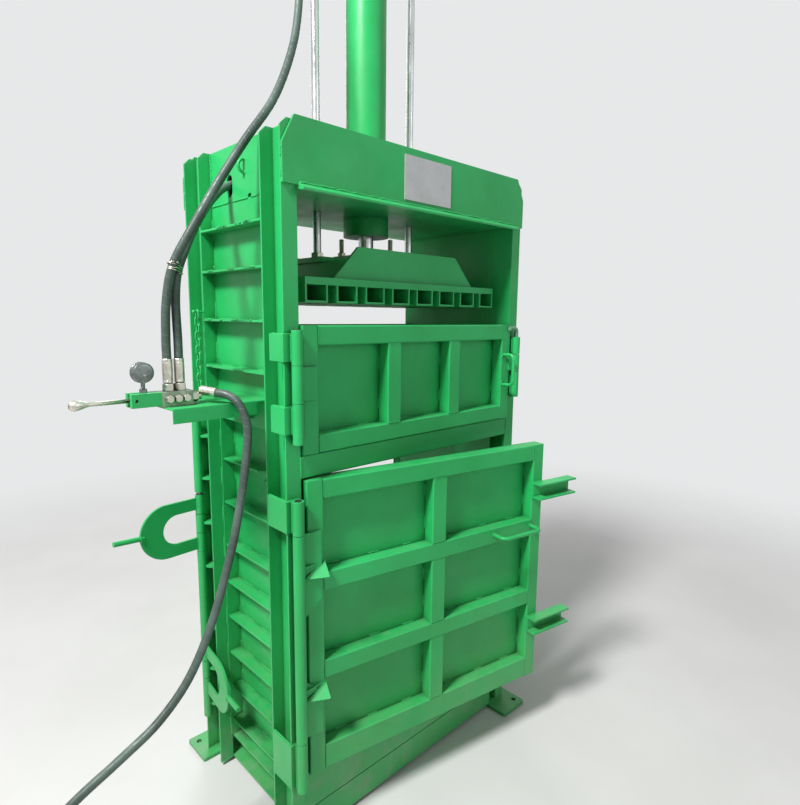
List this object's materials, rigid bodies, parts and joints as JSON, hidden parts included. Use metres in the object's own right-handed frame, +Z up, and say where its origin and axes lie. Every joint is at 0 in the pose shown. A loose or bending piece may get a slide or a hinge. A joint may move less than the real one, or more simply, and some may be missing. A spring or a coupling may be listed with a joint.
{
  "type": "recycling baler",
  "caption": "Upright hydraulic baler with a ribbed steel frame, feed door over an ajar bale door, channel platen, tall cylinder with guide rods, hasps and a side valve with hoses.",
  "frame": {"origin": "on the floor, at the middle of the foot bolt pattern and of the four columns", "axes": "+Z up, +X to the right along the width as seen from the doors, +Y from the front doors to the rear"},
  "size_m": [3.0289, 1.3458, 3.01],
  "materials": {
    "green_paint": "gloss machine enamel, brushed and sprayed",
    "zinc_steel": "zinc plated",
    "bright_rod": "polished",
    "hose_rubber": "matt",
    "pin_steel": "oiled dark steel",
    "bare_plate": "satin, bare",
    "gauge_case": "satin"
  },
  "bodies": {
    "press_frame": {"columns": "green_paint", "base_frame": "green_paint", "foot_plates": "green_paint", "floor_plate": "green_paint", "floor_channels": "green_paint", "chamber_side_plates": "green_paint", "upper_side_plates": "green_paint", "ribs_left": "green_paint", "ribs_right": "green_paint", "door_cross_bars": "green_paint", "rear_upper_panel": "green_paint", "beam_face_plates": "green_paint", "beam_side_plates": "green_paint", "beam_deck_plates": "green_paint", "beam_webs": "green_paint", "label_plate": "bare_plate", "guide_bushes": "green_paint", "cylinder_barrel": "green_paint", "cylinder_gland": "green_paint", "cylinder_cap": "green_paint", "frame_bolts": "zinc_steel", "knuckle_brackets": "green_paint", "frame_knuckles": "green_paint", "hinge_pins": "pin_steel", "valve_shelf": "green_paint", "valve_body": "green_paint", "valve_fittings": "zinc_steel", "pressure_gauge": "gauge_case", "chain": "green_paint", "cap_hose": "hose_rubber", "rod_hose": "hose_rubber", "supply_hose": "hose_rubber", "supply_coil": "hose_rubber", "supply_coupling": "zinc_steel"},
    "ram": {"piston_rod": "bright_rod", "rod_flange": "green_paint", "platen_plate": "green_paint", "platen_channels": "green_paint", "platen_stiffeners": "green_paint", "guide_rods": "bright_rod", "platen_nuts": "zinc_steel"},
    "feed_door": {"feed_door_frame": "green_paint", "feed_door_skin": "green_paint", "feed_door_handle": "green_paint", "feed_door_knuckles": "green_paint"},
    "bale_door": {"bale_door_frame": "green_paint", "bale_door_skin": "green_paint", "bale_door_hinge": "green_paint", "bale_door_handle": "green_paint", "bale_door_lugs": "green_paint"},
    "rear_door": {"rear_door_frame": "green_paint", "rear_door_skin": "green_paint", "rear_door_hinge": "green_paint", "rear_door_lugs": "green_paint"},
    "rear_upper_hasp_body": {"rear_upper_hasp": "green_paint"},
    "rear_lower_hasp_body": {"rear_lower_hasp": "green_paint"},
    "front_upper_hasp_body": {"front_upper_hasp": "green_paint"},
    "front_lower_hasp_body": {"front_lower_hasp": "green_paint"},
    "latch_pin_body": {"latch_pin": "pin_steel"},
    "valve_lever_body": {"valve_lever": "zinc_steel"}
  },
  "joints": [
    {"name": "ram_slide", "type": "slide", "parent": "press_frame", "child": "ram", "axis": [0, 0, -1], "range_m": [0, 0.9]},
    {"name": "feed_door_hinge", "type": "hinge", "parent": "press_frame", "child": "feed_door", "pos_m": [-0.474, -0.29, 1.35], "axis": [0, 0, -1], "range_deg": [0, 165]},
    {"name": "bale_door_hinge_joint", "type": "hinge", "parent": "press_frame", "child": "bale_door", "pos_m": [-0.48, -0.292, 0.65], "axis": [0, 0, -1], "range_deg": [-10.5, 150]},
    {"name": "rear_door_hinge_joint", "type": "hinge", "parent": "press_frame", "child": "rear_door", "pos_m": [0.48, 0.292, 0.65], "axis": [0, 0, -1], "range_deg": [-150, 15]},
    {"name": "rear_upper_hasp_pivot", "type": "hinge", "parent": "press_frame", "child": "rear_upper_hasp_body", "pos_m": [-0.507, 0.24, 0.854], "axis": [0, 0, 1], "range_deg": [-95, 83]},
    {"name": "rear_lower_hasp_pivot", "type": "hinge", "parent": "press_frame", "child": "rear_lower_hasp_body", "pos_m": [-0.507, 0.24, 0.335], "axis": [0, 0, 1], "range_deg": [-174, 4]},
    {"name": "front_upper_hasp_pivot", "type": "hinge", "parent": "press_frame", "child": "front_upper_hasp_body", "pos_m": [0.507, -0.24, 0.935], "axis": [0, 0, 1], "range_deg": [-154, 4]},
    {"name": "front_lower_hasp_pivot", "type": "hinge", "parent": "press_frame", "child": "front_lower_hasp_body", "pos_m": [0.507, -0.24, 0.435], "axis": [0, 0, 1], "range_deg": [-154, 4]},
    {"name": "latch_pin_lift", "type": "slide", "parent": "press_frame", "child": "latch_pin_body", "axis": [0, 0, 1], "range_m": [0, 0.07]},
    {"name": "valve_lever_pivot", "type": "hinge", "parent": "press_frame", "child": "valve_lever_body", "pos_m": [-0.8, -0.07, 1.321], "axis": [0, 1, 0], "range_deg": [-15, 15], "stiffness_Nm_per_rad": 20}
  ]
}
